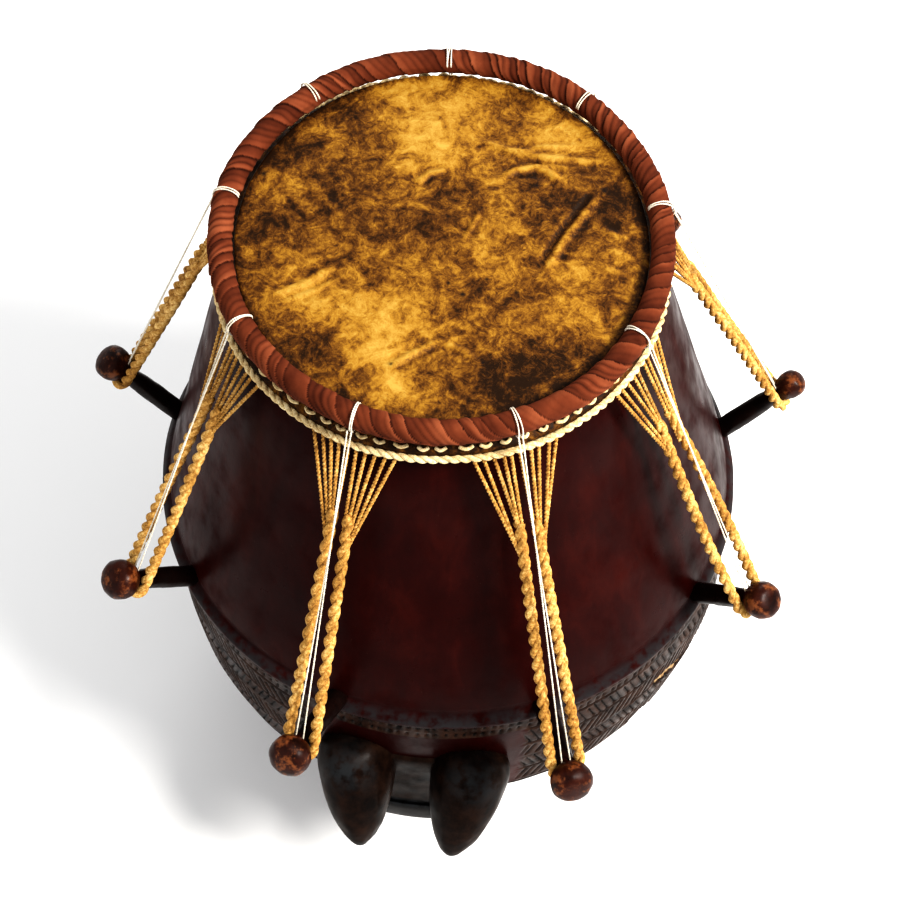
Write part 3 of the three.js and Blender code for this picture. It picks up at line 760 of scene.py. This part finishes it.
def edge_cord():
    """The cord along the hide's edge, and its stitches through the flap above."""
    degrees = np.linspace(-180, 180, 1320)
    path = around(FLAP_R + 1, degrees, EDGE_CORD_Z)
    path[:, 2] += 0.5 * np.sin(np.radians(degrees) * 9 + 1) + 0.3 * np.sin(np.radians(degrees) * 23)
    total = TAU * (FLAP_R + 1)
    turns = round(total / EDGE_CORD_PITCH)
    points, faces = merge(twisted(path, EDGE_CORD_R, total / turns, 8))
    belongs(to_mesh("edge_cord_twist", in_head(points), faces, CREAM_CORD), "cord_cream", "edge_cord")
    rng = np.random.default_rng(61)
    parts = []
    degrees = -180.0
    while degrees < 176:
        reach = rng.uniform(2.0, 3.6)
        z = STITCH_Z + rng.uniform(-0.8, 0.8)
        steps = np.linspace(0, 1, 9)
        r = SKIRT_R + 9.2 + 1.9 * np.sin(math.pi * steps)
        stitch = around(r, degrees + reach * steps, z + rng.uniform(-0.8, 0.8) * steps)
        parts.append(tube(stitch, STITCH_R, 6))
        degrees += reach + rng.uniform(1.4, 3.2)
    points, faces = merge(parts)
    belongs(to_mesh("flap_stitches", in_head(points), faces, CREAM_CORD), "cord_cream")


# ---- Pegs and cords ------------------------------------------------------------------------------
def peg_axis(angle, rise, swing):
    """The direction in which a peg stands out of the shell."""
    outward = around(1, angle + swing, 0)
    axis = outward * math.cos(math.radians(rise))
    axis[2] = math.sin(math.radians(rise))
    return axis


def peg_point(angle, rise, swing, distance):
    """The point of a peg's axis at a distance from the shell."""
    return around(PEG_SEAT_R, angle, PEG_Z) + peg_axis(angle, rise, swing) * distance


def peg(number, angle, rise, swing, knob):
    """A whittled peg: a dark shaft, a neck for the cord and a worn knob."""
    rng = np.random.default_rng(70 + number)
    axis = peg_axis(angle, rise, swing)
    foot = peg_point(angle, rise, swing, 0)
    back = PEG_SEAT_AT + ROPE_R + 1
    tip = PEG_REACH
    outline = smooth([(5.5, -PEG_ROOT), (PEG_SHAFT_R - 0.3, -PEG_ROOT + 4), (PEG_SHAFT_R, 10),
                      (PEG_SHAFT_R - 0.2, 36), (PEG_NECK_R + 0.3, PEG_SEAT_AT - 5),
                      (PEG_NECK_R, PEG_SEAT_AT), (PEG_NECK_R + 0.4, back - 2),
                      (knob * 0.80, back + 1.5), (knob * 0.98, back + 8), (knob * 0.95, tip - 6),
                      (knob * 0.72, tip - 1.8), (knob * 0.36, tip - 0.2), (0.01, tip)], 90)
    columns = 40
    a = np.linspace(0, TAU, columns, endpoint=False)[None]
    count = rng.integers(8, 11)
    facet = np.cos(math.pi / count) / np.cos(((a + rng.uniform(0, 1)) % (TAU / count)) - math.pi / count)
    radius = outline[:, :1] * (0.55 + 0.45 * facet)
    side = np.cross(axis, [0.0, 0.0, 1.0])
    side /= np.linalg.norm(side)
    up = np.cross(side, axis)
    points = foot + axis * outline[:, 1:, None]
    points = points + (radius * np.cos(a))[..., None] * side + (radius * np.sin(a))[..., None] * up
    points = points + side * (0.35 * ripple(points, 13, 80 + number))[..., None]
    faces = [face[::-1] for face in grid_faces(len(outline), columns)]
    faces.append(list(range(columns)))
    at = outline[:, 1:] + np.zeros((1, columns))
    tones = {"worn": np.clip((at - back) / 8, 0, 1), "dark": 0.85 * np.clip((back + 2 - at) / 16, 0, 1)}
    belongs(to_mesh(f"tuning_peg_{number}", points, faces, PEG_WOOD, tones), "peg_wood", f"peg_{number}")


def cord_set(number, angle, rise, swing):
    """A fan of strands from the edge cord, laid into the two legs of a rope round the peg's neck."""
    rng = np.random.default_rng(90 + number)
    axis = peg_axis(angle, rise, swing)
    seat = peg_point(angle, rise, swing, PEG_SEAT_AT)
    z_top = EDGE_CORD_Z - EDGE_CORD_R + 0.6
    top = in_head(around(FLAP_R + 1, angle, z_top))
    down = (seat - top) / np.linalg.norm(seat - top)
    across = np.cross(axis, down)
    across /= np.linalg.norm(across)
    away = np.cross(across, axis)
    if away @ down < 0:
        away = -away
    reach = PEG_NECK_R + GAP + ROPE_R * 0.8
    join = top + (seat - top) * FAN_SHARE
    leg_tops = {side: join + across * side * reach * 0.55 for side in (-1, 1)}
    # One rope runs down a leg, under the peg's neck and up the other leg
    bottom = []
    for t in np.linspace(0, math.pi, 26):
        bottom.append(seat - across * math.cos(t) * reach + away * math.sin(t) * reach)
    bottom = np.array(bottom)
    path = np.concatenate([line(leg_tops[-1] - down * 8, bottom[0], 1.7)[:-1], bottom,
                           line(bottom[-1], leg_tops[1] - down * 8, 1.7)[1:]])
    slack = np.sin(np.linspace(0, TAU, len(path)))[:, None] * rng.normal(size=3) * 0.8
    path = path + slack
    parts = twisted(path, ROPE_R, rng.uniform(19, 23), 12, phase=rng.uniform(0, TAU))
    for side in (-1, 1):
        for i in range(FAN_STRANDS):
            step = i + 0.45 + rng.uniform(-0.15, 0.15)
            degrees = angle + side * (FAN_HALF_ANGLE * step / FAN_STRANDS)
            start = in_head(around(FLAP_R + 1 + rng.uniform(-0.8, 0.8), degrees, z_top))
            end = leg_tops[side] + down * rng.uniform(2, 26) + across * side * (i - 2) * 0.8
            end = end + across * rng.uniform(-0.5, 0.5)
            parts += twisted(line(start, end, 1.1), STRAND_R, STRAND_PITCH, 6, phase=rng.uniform(0, TAU))
    points, faces = merge(parts)
    belongs(to_mesh(f"twisted_cord_{number}", points, faces, JUTE), "cord_jute", f"tension_cord_{number}")


def lashing(number, angle, rise, swing):
    """Turns of white string over the hoop, and the two strings that run on to the peg."""
    rng = np.random.default_rng(110 + number)
    axis = peg_axis(angle, rise, swing)
    seat = peg_point(angle, rise, swing, PEG_SEAT_AT + 3)
    parts = []
    turns = int(rng.integers(2, 4))
    for i in range(turns):
        a = np.radians(np.linspace(-100, 165, 30))
        r = HOOP_TUBE_R + 0.75
        sway = (i - (turns - 1) / 2) * 0.62 + rng.uniform(-0.12, 0.12)
        lean_by = rng.uniform(-0.5, 0.5)
        degrees = angle + sway + lean_by * np.cos(a)
        loop = around(HOOP_R + r * np.cos(a), degrees, r * np.sin(a))
        reach = np.hypot(loop[:, 0], loop[:, 1])
        loop[:, :2] *= (np.maximum(reach, SKIRT_R + 0.6) / reach)[:, None]
        parts += twisted(in_head(loop), LASHING_STRING_R, LASHING_PITCH, 5)
    for side in (-1, 1):
        start = in_head(around(HOOP_R + HOOP_TUBE_R + 0.9, angle + side * 0.5, -2))
        end = seat + np.cross(axis, [0, 0, 1.0]) * side * (PEG_NECK_R * 0.5)
        parts += twisted(line(start, end, 1.5), STRING_R, STRING_PITCH, 5, phase=rng.uniform(0, TAU))
    points, faces = merge(parts)
    piece = to_mesh(f"white_lashing_{number}", points, faces, WHITE_STRING)
    belongs(piece, "white_string", f"lashing_{number}")


# ---- Floor, light and camera ---------------------------------------------------------------------
FLOOR_HALF = 12.0                          # metres
CAMERA_AT = np.array([3.2, -726.6, 1466.9])  # millimetres, in the drum's own frame
CAMERA_AZIMUTH, CAMERA_PITCH, CAMERA_ROLL = math.radians(0.18), math.radians(57.73), math.radians(-1.71)


def floor():
    """A plain pale floor under the drum."""
    material = Nodes("pale_floor")
    material.finish((0.9, 0.9, 0.9, 1), 0.9)
    mesh = bpy.data.meshes.new("floor")
    corners = [(-FLOOR_HALF, -FLOOR_HALF, 0), (FLOOR_HALF, -FLOOR_HALF, 0),
               (FLOOR_HALF, FLOOR_HALF, 0), (-FLOOR_HALF, FLOOR_HALF, 0)]
    mesh.from_pydata(corners, [], [(0, 1, 2, 3)])
    mesh.materials.append(material.material)
    plane = bpy.data.objects.new("floor", mesh)
    bpy.context.scene.collection.objects.link(plane)


def area_light(name, place, target, size, power, colour=(1, 1, 1)):
    """A round soft light that faces its target."""
    data = bpy.data.lights.new(name, "AREA")
    data.shape = "DISK"
    data.size = size
    data.energy = power
    data.color = colour
    lamp = bpy.data.objects.new(name, data)
    direction = Vector(place) - Vector(target)
    lamp.location = place
    lamp.rotation_euler = direction.to_track_quat("Z", "Y").to_euler()
    bpy.context.scene.collection.objects.link(lamp)


def lights():
    """A soft key from the right and high, a weak fill, a light from behind, and an even white sky."""
    area_light("key", (1.7, -0.9, 2.5), (0, 0, 0.3), 0.8, 110, (1, 0.97, 0.92))
    area_light("fill", (-1.6, -1.8, 1.6), (0, 0, 0.3), 1.8, 4, (0.94, 0.97, 1))
    area_light("rim", (0.3, 2.2, 1.8), (0, 0, 0.4), 1.2, 14)
    world = bpy.data.worlds.new("studio")
    world.use_nodes = True
    world.node_tree.nodes["Background"].inputs["Color"].default_value = (1, 1, 1, 1)
    world.node_tree.nodes["Background"].inputs["Strength"].default_value = 0.62
    bpy.context.scene.world = world
    bpy.context.scene.view_settings.view_transform = "Standard"
    bpy.context.scene.view_settings.look = "High Contrast"


def camera():
    """Looks down at the drum's front."""
    data = bpy.data.cameras.new("camera")
    data.sensor_width = 36
    data.lens = 72
    level = np.array([-math.sin(CAMERA_AZIMUTH), math.cos(CAMERA_AZIMUTH), 0])
    forward = level * math.cos(CAMERA_PITCH) - np.array([0, 0, math.sin(CAMERA_PITCH)])
    right = np.array([math.cos(CAMERA_AZIMUTH), math.sin(CAMERA_AZIMUTH), 0])
    down = np.cross(forward, right)
    turned_right = right * math.cos(CAMERA_ROLL) + down * math.sin(CAMERA_ROLL)
    turned_down = down * math.cos(CAMERA_ROLL) - right * math.sin(CAMERA_ROLL)
    place = CAMERA_AT * MM + AXIS
    rows = [[turned_right[i], -turned_down[i], -forward[i], place[i]] for i in range(3)] + [[0, 0, 0, 1]]
    view = bpy.data.objects.new("camera", data)
    view.matrix_world = Matrix(rows)
    bpy.context.scene.collection.objects.link(view)
    bpy.context.scene.camera = view


camera()
floor()
lights()
shell()
notched_band()
breast("breast_left", -1)
breast("breast_right", 1)
apron()
head()
hoop()
edge_cord()
for number, (angle, rise, swing, knob) in enumerate(PEGS, 1):
    peg(number, angle, rise, swing, knob)
    cord_set(number, angle, rise, swing)
    lashing(number, angle, rise, swing)
